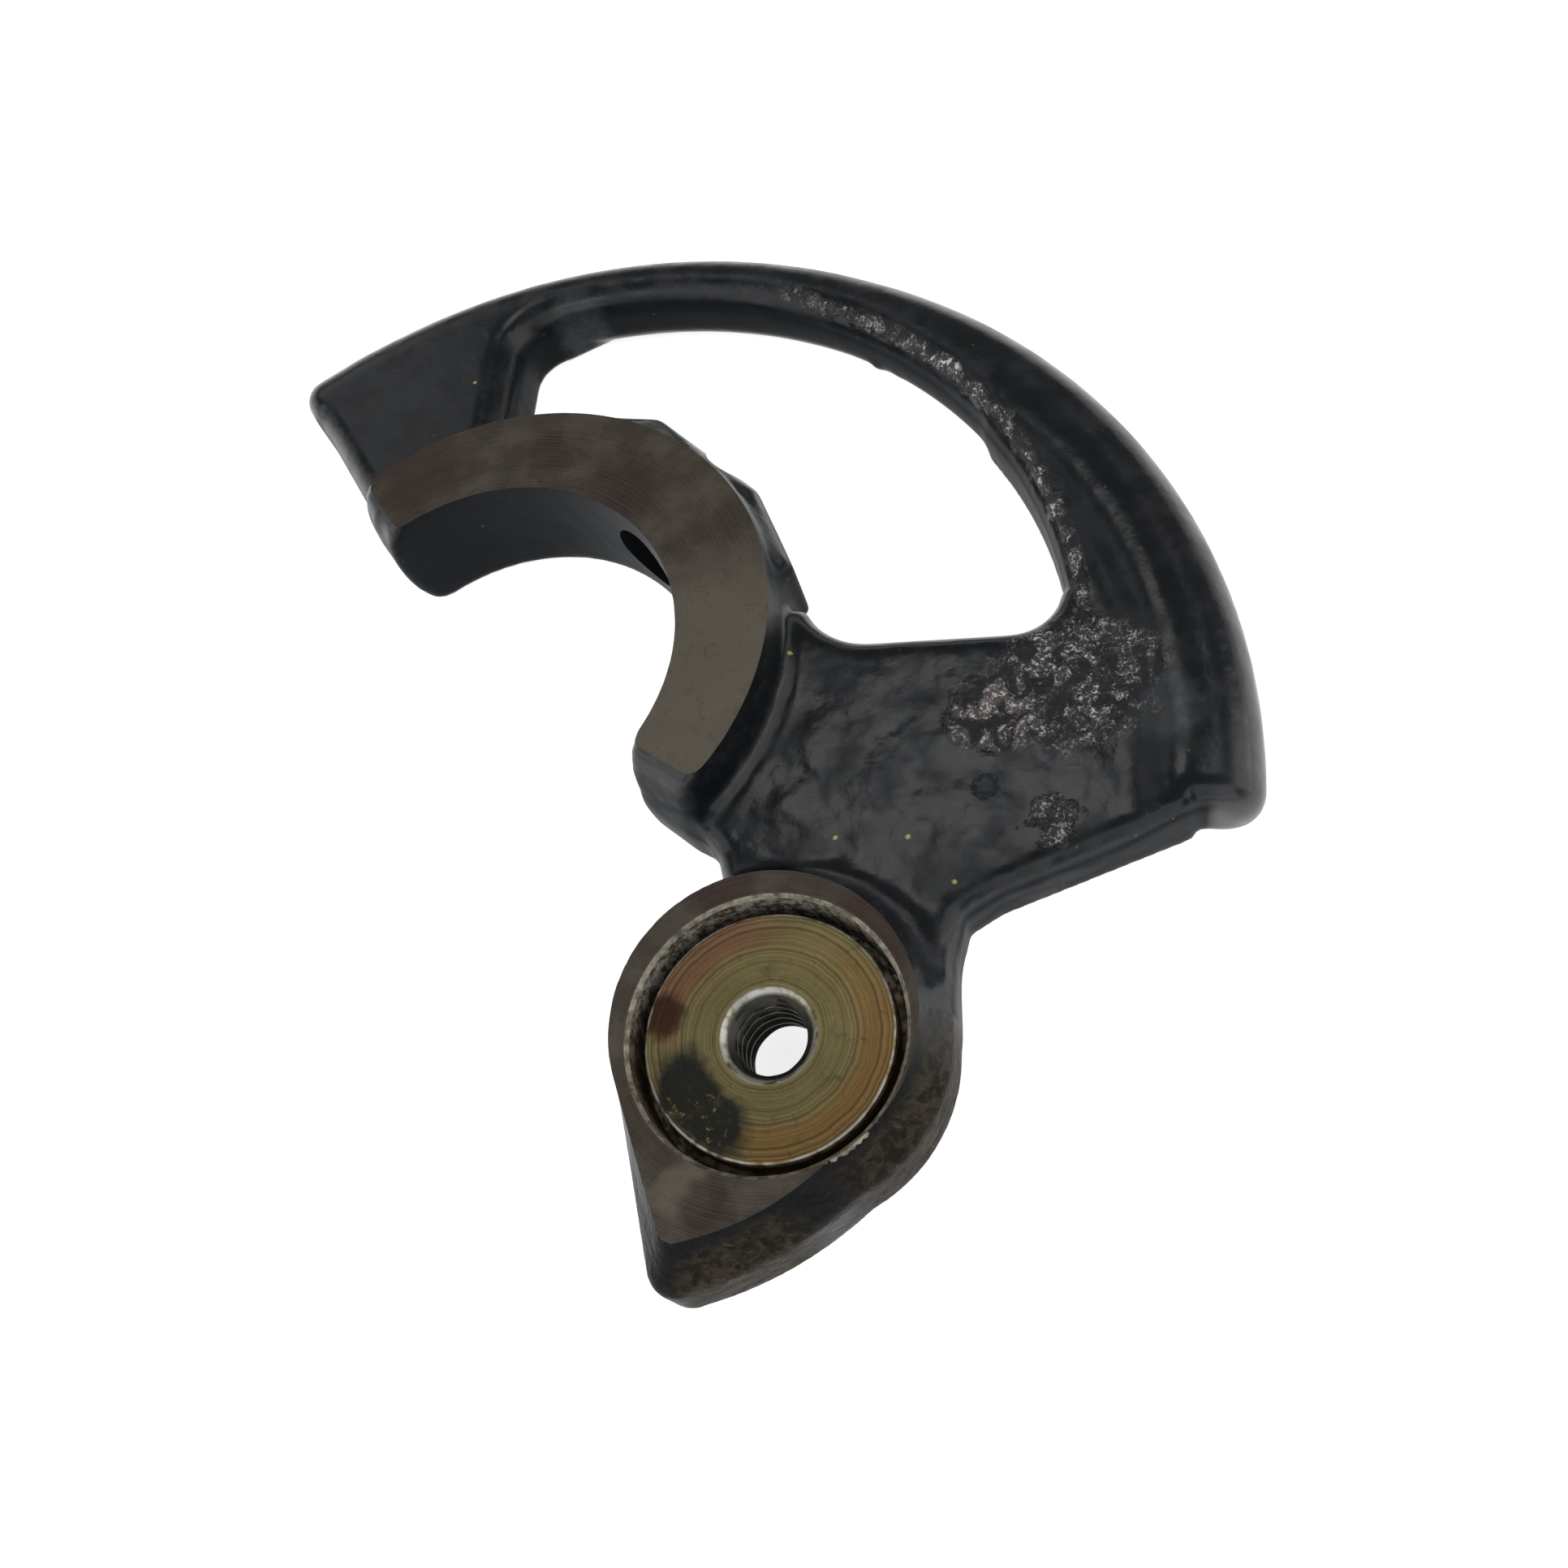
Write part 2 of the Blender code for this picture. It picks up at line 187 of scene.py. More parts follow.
# Colours of the enamel.
ENAMEL_BLACK = (0.0062, 0.0066, 0.0072)
ENAMEL_BLUE = (0.0085, 0.0115, 0.0155)
ENAMEL_THIN = (0.0085, 0.0092, 0.0103)
# Painted sheen on the web, rim and tip.
ENAMEL_WEB_SHEEN = (0.05, 0.053, 0.054)
ENAMEL_SHEEN = (0.062, 0.066, 0.072)
# The crinkle grey and the glint are painted sheen and glints on the crinkled enamel.
CRINKLE_SHEEN_GREY = (0.085, 0.086, 0.095)
CRINKLE_BROWN = (0.15, 0.115, 0.10)
CRINKLE_GLINT = (0.85, 0.82, 0.80)
STAIN_BLACK = (0.003, 0.003, 0.003)
FLECK_YELLOW = (0.45, 0.4, 0.12)
DUST_BROWN = (0.11, 0.1, 0.07)

# Colours of the bare iron.
IRON_BROWN = (0.068, 0.054, 0.042)
IRON_GREY = (0.125, 0.108, 0.084)
IRON_BRIGHT = (0.20, 0.18, 0.14)
IRON_RUST = (0.058, 0.031, 0.029)
IRON_MARK = (0.24, 0.22, 0.18)
IRON_SMEAR = (0.045, 0.037, 0.031)
IRON_PIT = (0.03, 0.026, 0.022)
WALL_DARK = (0.012, 0.010, 0.007)
WALL_BROWN = (0.044, 0.035, 0.023)
WALL_SCRATCH = (0.085, 0.078, 0.062)
POCKET_BROWN = (0.10, 0.082, 0.06)
POCKET_TAN = (0.34, 0.24, 0.15)
POCKET_SILVER = (0.66, 0.63, 0.55)
EDGE_DARK = (0.12, 0.105, 0.08)
EDGE_BRIGHT = (0.34, 0.32, 0.26)

# Colours of the bush and the washer.
GOLD_DARK = (0.15, 0.118, 0.046)
GOLD_LIGHT = (0.29, 0.245, 0.108)
GOLD_ORANGE = (0.26, 0.145, 0.046)
GOLD_RED = (0.235, 0.11, 0.062)
GOLD_MARK = (0.46, 0.40, 0.23)
GOLD_GROOVE = (0.075, 0.055, 0.022)
GOLD_SMUDGE = (0.055, 0.042, 0.022)
GOLD_FLECK = (0.33, 0.26, 0.07)
HEAD_BLACK = (0.02, 0.023, 0.023)
HEAD_BROWN = (0.05, 0.02, 0.012)
# Bare steel on the head's worn edges, made brighter as a painted highlight.
HEAD_WORN_HIGHLIGHT = (0.62, 0.61, 0.55)
THREAD_GREY = (0.06, 0.058, 0.05)
WASHER_STEEL = (0.22, 0.18, 0.13)
WASHER_GREASE = (0.09, 0.07, 0.05)

# The floor: its glow, which fades to a little up the wall, and its profile.
FLOOR_DARK = (0.86, 0.86, 0.86)
FLOOR_LIGHT = (0.88, 0.88, 0.88)
FLOOR_GLOW = 0.8
WALL_GLOW = 0.04
FLOOR_SIDES = 96
FLOOR_PROFILE = ((0.5, 0.0), (1.3, 0.0), (1.42, 0.03), (1.48, 0.09), (1.5, 0.18), (1.5, 0.5))
FLOOR_SHARP_EDGE = 40.0

# Lights: name, place, target, size and power.
LIGHTS = (
    ("left light", (-0.75, -0.35, 0.6), (0, 0, 0), 1.1, 3.6),
    ("right light", (0.85, 0.05, 0.6), (0, 0, 0), 1.1, 4.0),
    ("front light", (0.1, -0.85, 0.7), (0, 0, 0), 1.0, 2.4),
    ("web light", (-0.04, 0.23, 0.55), (0.02, 0, 0), 0.2, 0.22),
    ("tip light", (-0.36, 0.36, 0.42), (-0.03, 0.03, 0), 0.28, 0.12),
)
SURROUND = 0.12

# Camera: its place from the pivot at the boss's face, in millimetres, and its three axes.
LENS = 35.05
CAMERA_PLACE = (26.75, -30.45, 98.61)
CAMERA_RIGHT = Vector((0.9711, 0.0702, -0.2282))
CAMERA_DOWN = Vector((-0.0382, -0.8977, -0.4390))
CAMERA_FORWARD = Vector((-0.2357, 0.4350, -0.8691))

# The lever's finishes, by their place in its list of materials.
ENAMEL, HOOK_FACE, BOSS_FACE_IRON, POCKET_WALL, WORN_EDGE, WORN_WALL = range(6)


def polar(radius, degrees):
    """A point of the lever's plane at an angle from +X."""
    return np.array((math.cos(math.radians(degrees)), math.sin(math.radians(degrees)))) * radius


def arc(centre, radius, start, end, steps):
    """Points on an arc from one angle to another, both ends included."""
    return [centre + polar(radius, start + (end - start) * i / steps) for i in range(steps + 1)]


def polygon_distance(x, y, corners):
    """Signed distance in the plane from points to a polygon, negative inside it."""
    corners = np.array([tuple(corner) for corner in corners])
    nearest = np.full(x.shape, 1e9)
    inside = np.zeros(x.shape, bool)
    for (ax, ay), (bx, by) in zip(corners, np.roll(corners, -1, axis=0)):
        ex, ey = bx - ax, by - ay
        t = np.clip(((x - ax) * ex + (y - ay) * ey) / (ex * ex + ey * ey), 0, 1)
        nearest = np.minimum(nearest, (x - ax - t * ex) ** 2 + (y - ay - t * ey) ** 2)
        if ay != by:
            inside ^= ((ay > y) != (by > y)) & (x < ex * (y - ay) / ey + ax)
    return np.where(inside, -1.0, 1.0) * np.sqrt(nearest)


def filleted(a, b, radius):
    """Union of two solids, given by their distances, with a round fillet in the corner."""
    hollow = np.hypot(np.maximum(radius - a, 0), np.maximum(radius - b, 0))
    return np.maximum(radius, np.minimum(a, b)) - hollow


def rounded(a, b, radius):
    """Intersection of two solids with a rounded edge."""
    return -filleted(-a, -b, radius)


def beyond(x, y, centre, degrees):
    """Distance past a ray from a centre, on its clockwise side."""
    heading = polar(1.0, degrees)
    return heading[1] * (x - centre[0]) - heading[0] * (y - centre[1])


def rim_field(x, y, z):
    """The rim: a rounded bar swept along the grip's arc, with both ends rounded."""
    dx, dy = x - GRIP_CENTRE[0], y - GRIP_CENTRE[1]
    radius = np.hypot(dx, dy)
    ux, uy = dx / radius, dy / radius
    offset = WINDOW_CENTRE - GRIP_CENTRE
    along = offset[0] * ux + offset[1] * uy
    inner = along + np.sqrt(WINDOW_RADIUS**2 - offset @ offset + along**2)
    half = np.minimum(GRIP_RADIUS - inner, RIM_WIDEST) / 2
    corner = np.minimum(RIM_ROUND, half - 0.05)
    across = np.abs(radius - (GRIP_RADIUS - half)) - (half - corner)
    upward = np.abs(z - RIM_TOP / 2) - (RIM_TOP / 2 - corner)
    bar = np.hypot(np.maximum(across, 0), np.maximum(upward, 0)) - corner
    bar = bar + np.minimum(np.maximum(across, upward), 0)
    bar = rounded(bar, beyond(x, y, GRIP_CENTRE, GRIP_START), RIM_END_ROUND)
    return rounded(bar, -beyond(x, y, GRIP_CENTRE, GRIP_END), RIM_END_ROUND)


def tip_outline():
    """The plate between the tip of the rim, the window and the hook."""
    outer = arc(GRIP_CENTRE, GRIP_RADIUS, 100.0, GRIP_END - 6.0, 16)
    outer.append(GRIP_CENTRE + polar(GRIP_RADIUS - 1.8, GRIP_END - 1.6))
    end_side = [(-51.3, 62.9), (-47.6, 58.2), (-43.2, 51.8), (-40.2, 47.9), (-37.4, 45.0)]
    hook_side = arc(HOOK_CENTRE, HOOK_BORE + 3.5, HOOK_END - 3.0, 100.0, 8)
    corner = np.array((WINDOW_LEFT + SHOULDER_CORNER, SHOULDER_HEIGHT))
    window = [(WINDOW_LEFT + 1.2, 50.0), (WINDOW_LEFT, 53.0)]
    window += arc(corner, SHOULDER_CORNER, 180.0, 100.0, 8)
    return [*outer, *end_side, *hook_side, *window, (-22.0, 72.2)]


def web_outline():
    """The web from the boss to the rim and the window, and up to the hook's wall."""
    rim_side = [(29.4, 16.9), *arc(GRIP_CENTRE, GRIP_RADIUS - 3.6, 0.0, 34.0, 12)]
    rim_side.append(WINDOW_CENTRE + polar(WINDOW_RADIUS + 2.4, 40.0))
    rim_side += arc(WINDOW_CENTRE, WINDOW_RADIUS, 34.0, 9.0, 10)
    corner = np.array((WINDOW_RIGHT - WINDOW_CORNER, WINDOW_FLOOR + WINDOW_CORNER))
    window = arc(corner, WINDOW_CORNER, 0.0, -90.0, 10)
    bay = np.array((5.2, WINDOW_FLOOR + BAY_RADIUS))
    window += arc(bay, BAY_RADIUS, -90.0, -155.0, 10)
    hook_side = arc(HOOK_CENTRE, HOOK_BORE + 3.0, 12.0, HOOK_START + 6.0, 12)
    neck = [(-11.4, 20.0), (-8.8, 17.7), (-7.1, 16.3), (-5.8, 14.6), (-5.3, 12.8), (-5.0, 9.0)]
    boss_side = [(4.0, 2.0), (11.6, 2.0), (13.2, 9.6), (15.6, 11.2)]
    return [*rim_side, *window, *hook_side, *neck, *boss_side]


def pad_outline():
    """The pad on the outer side of the hook, square to the cross hole."""
    along = polar(1.0, CROSS_HOLE_ANGLE)
    across = polar(1.0, CROSS_HOLE_ANGLE + 90.0)
    root = HOOK_BORE + 2.0
    spots = ((root, -12.0), (22.8, -12.0), (26.2, -4.0), (26.2, 8.6), (22.0, 15.0), (root, 15.0))
    return [HOOK_CENTRE + along * reach + across * side for reach, side in spots]


def teardrop(centre, radius, nose, nose_radius):
    """A circle drawn out to a small round nose, with a slight hollow along one side."""
    reach = nose - centre
    heading = math.degrees(math.atan2(reach[1], reach[0]))
    lean = math.degrees(math.acos((radius - nose_radius) / np.hypot(*reach)))
    body = arc(centre, radius, heading + lean, heading + 360.0 - lean, 72)
    tip = arc(nose, nose_radius, heading - lean, heading + lean, 12)
    hollow = []
    for t in np.linspace(0.1, 0.9, 9):
        side = np.array((body[0][1] - tip[-1][1], tip[-1][0] - body[0][0]))
        side = side / np.hypot(*side)
        hollow.append(tip[-1] + (body[0] - tip[-1]) * t + side * (4 * NOSE_HOLLOW * t * (1 - t)))
    return [*body, *tip, *hollow]


def swell(z, middle):
    """How far an end of the hook swells out below its face."""
    return HOOK_SWELL * np.sqrt(np.clip(1 - ((z - middle) / (HOOK_TOP - middle)) ** 2, 0, 1))


def hook_field(x, y, z):
    """The hook: a ring sector whose ends swell out below its face."""
    outer = np.hypot(x - HOOK_OUTER_CENTRE[0], y - HOOK_OUTER_CENTRE[1]) - HOOK_OUTER_RADIUS
    inner = HOOK_BORE - np.hypot(x - HOOK_CENTRE[0], y - HOOK_CENTRE[1])
    start = beyond(x, y, HOOK_CENTRE, HOOK_START) - swell(z, START_SWELL_HEIGHT)
    end = -beyond(x, y, HOOK_CENTRE, HOOK_END) - swell(z, END_SWELL_HEIGHT)
    ring = rounded(np.maximum(outer, inner), np.maximum(start, end), HOOK_ROUND)
    return np.maximum(ring, z - HOOK_TOP - HOOK_STOCK)


def casting_field(x, y, z):
    """Distance field of the rough casting, before it is machined."""
    body = rim_field(x, y, z)
    tip = rounded(polygon_distance(x, y, tip_outline()), z - RIM_TOP, TIP_ROUND)
    body = np.minimum(body, tip)
    outward = np.hypot(x - GRIP_CENTRE[0], y - GRIP_CENTRE[1])
    rise = np.clip((outward - SLOPE_START) / (SLOPE_END - SLOPE_START), 0, 1)
    web_top = WEB_TOP + (RIM_TOP - 0.02 - WEB_TOP) * rise**2 * (3 - 2 * rise)
    web = rounded(polygon_distance(x, y, web_outline()), z - web_top, WEB_ROUND)
    body = filleted(body, web, WEB_FILLET)
    body = filleted(body, hook_field(x, y, z), HOOK_FILLET)
    pad = rounded(polygon_distance(x, y, pad_outline()), z - PAD_TOP, PAD_ROUND)
    body = filleted(body, pad, PAD_FILLET)
    share = np.clip((z - BOSS_SHOULDER) / (BOSS_TOP - BOSS_SHOULDER), 0, 1.25)
    foot = polygon_distance(x, y, teardrop(*BOSS_FOOT))
    face = polygon_distance(x, y, teardrop(*BOSS_FACE))
    boss = np.maximum(foot + (face - foot) * share, z - BOSS_TOP - BOSS_STOCK)
    body = filleted(body, boss, BOSS_FILLET)
    for centre_x, centre_y, centre_z, radius in BURRS:
        burr = np.sqrt((x - centre_x) ** 2 + (y - centre_y) ** 2 + (z - centre_z) ** 2) - radius
        body = filleted(body, burr, BURR_FILLET)
    bore = HOOK_BORE - np.hypot(x - HOOK_CENTRE[0], y - HOOK_CENTRE[1])
    body = rounded(body, bore, BORE_ROUND)
    return rounded(body, -z, BACK_ROUND)


def surface_net(field, low):
    """Vertices and quads on the zero level of a field sampled on the grid."""
    cells = tuple(count - 1 for count in field.shape)
    total = np.zeros((*cells, 3))
    hits = np.zeros(cells)
    crossings = []
    for axis in range(3):
        near = np.take(field, range(field.shape[axis] - 1), axis)
        far = np.take(field, range(1, field.shape[axis]), axis)
        crossed = (near < 0) != (far < 0)
        crossings.append((crossed, near < 0))
        reach = np.where(crossed, near / np.where(crossed, near - far, 1.0), 0.0)
        first, second = [other for other in range(3) if other != axis]
        for u in (0, 1):
            for v in (0, 1):
                window = [slice(None)] * 3
                window[first] = slice(u, u + cells[first])
                window[second] = slice(v, v + cells[second])
                cut = crossed[tuple(window)]
                total[..., axis] += reach[tuple(window)]
                total[..., first] += cut * u
                total[..., second] += cut * v
                hits += cut
    active = hits > 0
    number = np.full(cells, -1)
    number[active] = np.arange(active.sum())
    points = (np.argwhere(active) + total[active] / hits[active][:, None]) * GRID_STEP + low
    quads = []
    for axis, (crossed, starts_inside) in enumerate(crossings):
        first, second = (axis + 1) % 3, (axis + 2) % 3
        spots = np.argwhere(crossed)
        keep = (spots[:, first] > 0) & (spots[:, second] > 0)
        keep &= (spots[:, first] < cells[first]) & (spots[:, second] < cells[second])
        spots = spots[keep]
        ring = []
        for u, v in ((-1, -1), (0, -1), (0, 0), (-1, 0)):
            cell = spots.copy()
            cell[:, first] += u
            cell[:, second] += v
            ring.append(number[cell[:, 0], cell[:, 1], cell[:, 2]])
        ring = np.stack(ring, 1)
        outward = starts_inside[spots[:, 0], spots[:, 1], spots[:, 2]]
        quads.append(np.where(outward[:, None], ring, ring[:, ::-1]))
    return points, np.concatenate(quads)


def settled(points):
    """Points moved onto the casting's surface along its slope."""
    for _ in range(2):
        x, y, z = points.T
        value = casting_field(x, y, z)
        slope = np.stack([
            casting_field(x + PROBE, y, z) - value,
            casting_field(x, y + PROBE, z) - value,
            casting_field(x, y, z + PROBE) - value,
        ], 1) / PROBE
        move = value / np.maximum((slope**2).sum(1), 0.25)
        points = points - slope * np.clip(move, -GRID_STEP, GRID_STEP)[:, None]
    return points


def to_frame(points):
    """Points in millimetres from the pivot, in the frame's metres."""
    return np.asarray(points) * MM + np.array((PIVOT.x, PIVOT.y, 0.0))


def placed(name, data):
    """A new object in the scene, for a mesh, light or camera."""
    item = bpy.data.objects.new(name, data)
    bpy.context.scene.collection.objects.link(item)
    return item


def new_piece(name, points, faces):
    """A mesh object in the frame from points in millimetres."""
    mesh = bpy.data.meshes.new(name)
    mesh.from_pydata(to_frame(points).tolist(), [], faces)
    return placed(name, mesh)


def rough_casting():
    """The casting as it leaves its mould."""
    low = np.array((LEVER_BOX[0].x - PIVOT.x, LEVER_BOX[0].y - PIVOT.y, 0.0)) / MM - GRID_MARGIN
    high = np.array((LEVER_BOX[1].x - PIVOT.x, LEVER_BOX[1].y - PIVOT.y, 0.0)) / MM + GRID_MARGIN
    high[2] = HOOK_TOP + 2.0
    axes = [np.arange(low[i], high[i], GRID_STEP) for i in range(3)]
    x, y = np.meshgrid(axes[0], axes[1], indexing="ij")
    field = casting_field(x[:, :, None], y[:, :, None], axes[2][None, None, :])
    points, quads = surface_net(field, low)
    item = new_piece("lever", settled(points), quads.tolist())
    smooth = item.modifiers.new("smooth", "SMOOTH")
    smooth.factor = 0.5
    smooth.iterations = SMOOTH_ROUNDS
    return item


def turned(name, profile, steps, centre=(0.0, 0.0)):
    """A closed solid of revolution about a vertical axis from (radius, height) points.

    The profile starts and ends on the axis.
    """
    points = [(centre[0], centre[1], profile[0][1]), (centre[0], centre[1], profile[-1][1])]
    inner = profile[1:-1]
    for radius, height in inner:
        for i in range(steps):
            spot = polar(radius, 360.0 * i / steps)
            points.append((centre[0] + spot[0], centre[1] + spot[1], height))
    faces = []
    last = 2 + (len(inner) - 1) * steps
    for i in range(steps):
        j = (i + 1) % steps
        faces.append((0, 2 + j, 2 + i))
        faces.append((1, last + i, last + j))
        for ring in range(len(inner) - 1):
            a = 2 + ring * steps
            faces.append((a + i, a + j, a + steps + j, a + steps + i))
    return new_piece(name, points, faces)


def slab(name, low, high):
    """A box between two corners."""
    xs, ys, zs = zip(low, high)
    points = [(x, y, z) for z in zs for y in ys for x in xs]
    faces = [(0, 2, 3, 1), (4, 5, 7, 6), (0, 1, 5, 4), (2, 6, 7, 3), (0, 4, 6, 2), (1, 3, 7, 5)]
    return new_piece(name, points, faces)


def cross_hole():
    """The drill that runs from the hook's bore out through the pad."""
    mesh = bpy.data.meshes.new("cross hole")
    work = bmesh.new()
    bmesh.ops.create_cone(
        work, cap_ends=True, segments=48, radius1=CROSS_HOLE_RADIUS * MM,
        radius2=CROSS_HOLE_RADIUS * MM, depth=CROSS_HOLE_LENGTH * MM,
    )
    heading = Matrix.Rotation(math.radians(CROSS_HOLE_ANGLE), 4, "Z")
    turn = heading @ Matrix.Rotation(math.pi / 2, 4, "Y")
    middle = HOOK_CENTRE + polar(HOOK_BORE + 6.0, CROSS_HOLE_ANGLE)
    spot = Vector(to_frame((*middle, HOOK_TOP / 2)))
    work.transform(Matrix.Translation(spot) @ turn)
    work.to_mesh(mesh)
    work.free()
    return placed("cross hole", mesh)


def machine(item, cutters):
    """Cut a piece with each cutter in turn, and drop the cutters."""
    for cutter in cutters:
        cut = item.modifiers.new(cutter.name, "BOOLEAN")
        cut.operation = "DIFFERENCE"
        cut.solver = "MANIFOLD"
        cut.object = cutter
    bpy.context.view_layer.update()
    graph = bpy.context.evaluated_depsgraph_get()
    mesh = bpy.data.meshes.new_from_object(item.evaluated_get(graph))
    item.modifiers.clear()
    item.data = mesh
    for cutter in cutters:
        bpy.data.objects.remove(cutter)


def build_lever():
    """The finished lever: the rough casting with its faces, pocket and cross hole machined."""
    lever = rough_casting()
    above = HOOK_TOP + 4.0
    pocket = [
        (0.0, -1.0), (BORE_RADIUS, -1.0), (BORE_RADIUS, POCKET_FLOOR), (POCKET_RADIUS, POCKET_FLOOR),
        (POCKET_RADIUS, BOSS_TOP - POCKET_CHAMFER), (POCKET_RADIUS + POCKET_CHAMFER, BOSS_TOP),
        (POCKET_RADIUS + POCKET_CHAMFER, above), (0.0, above),
    ]
    # The hook's bore is cast to size, so only its upper edge is cut.
    bore_edge = [
        (0.0, HOOK_TOP - 0.4), (HOOK_BORE - 0.02, HOOK_TOP - 0.4), (HOOK_BORE - 0.02, HOOK_TOP - 0.2),
        (HOOK_BORE + BORE_CHAMFER, HOOK_TOP), (HOOK_BORE + BORE_CHAMFER, above), (0.0, above),
    ]
    machine(lever, [
        slab("floor trim", (-70, -40, -5), (60, 90, 0.0)),
        slab("hook trim", (-70, -40, HOOK_TOP), (60, 90, above)),
        slab("boss trim", (-16, -24, BOSS_TOP), (16, 12.6, above)),
        turned("hook bore", bore_edge, 240, HOOK_CENTRE),
        turned("pocket", pocket, 192),
        cross_hole(),
    ])
    return lever


def build_bush():
    """The flanged bush with a true helical thread."""
    outer = [
        (SHANK_RADIUS - 0.3, 0.0), (SHANK_RADIUS, 0.3), (SHANK_RADIUS, HEAD_BOTTOM),
        (HEAD_RADIUS - 0.15, HEAD_BOTTOM), (HEAD_RADIUS, HEAD_BOTTOM + 0.15),
        (HEAD_RADIUS, BUSH_TOP - 0.26), (HEAD_RADIUS - 0.06, BUSH_TOP - 0.1),
        (HEAD_RADIUS - 0.2, BUSH_TOP - 0.02), (HEAD_RADIUS - 0.32, BUSH_TOP),
        (HEAD_RADIUS - 0.7, BUSH_TOP), (THREAD_MAJOR + 0.7, BUSH_TOP),
        (THREAD_MAJOR + THREAD_LEAD_IN, BUSH_TOP),
    ]
    depth = THREAD_MAJOR - THREAD_MINOR
    heights = np.arange(BUSH_TOP - 0.2, 0.1, -THREAD_STEP)
    points = []
    for radius, height in outer:
        for i in range(BUSH_SIDES):
            points.append((*polar(radius, 360.0 * i / BUSH_SIDES), height))
    for height in [*heights, 0.0]:
        for i in range(BUSH_SIDES):
            phase = (height / THREAD_PITCH - i / BUSH_SIDES) % 1.0
            groove = THREAD_MINOR + depth * (1 - min(1.0, abs(phase - 0.5) / GROOVE_HALF_WIDTH))
            lead_in = THREAD_MAJOR + THREAD_LEAD_IN - max(0.0, BUSH_TOP - height)
            radius = max(groove, lead_in, THREAD_MAJOR - height)
            points.append((*polar(radius, 360.0 * i / BUSH_SIDES), height))
    rings = len(points) // BUSH_SIDES
    faces = []
    for ring in range(rings):
        a, b = ring * BUSH_SIDES, (ring + 1) % rings * BUSH_SIDES
        for i in range(BUSH_SIDES):
            j = (i + 1) % BUSH_SIDES
            faces.append((a + i, a + j, b + j, b + i))
    return new_piece("bush", points, faces)


def shade(item, degrees):
    """Shade a piece smooth, with real edges kept sharp."""
    item.data.shade_smooth()
    item.data.set_sharp_from_angle(angle=math.radians(degrees))


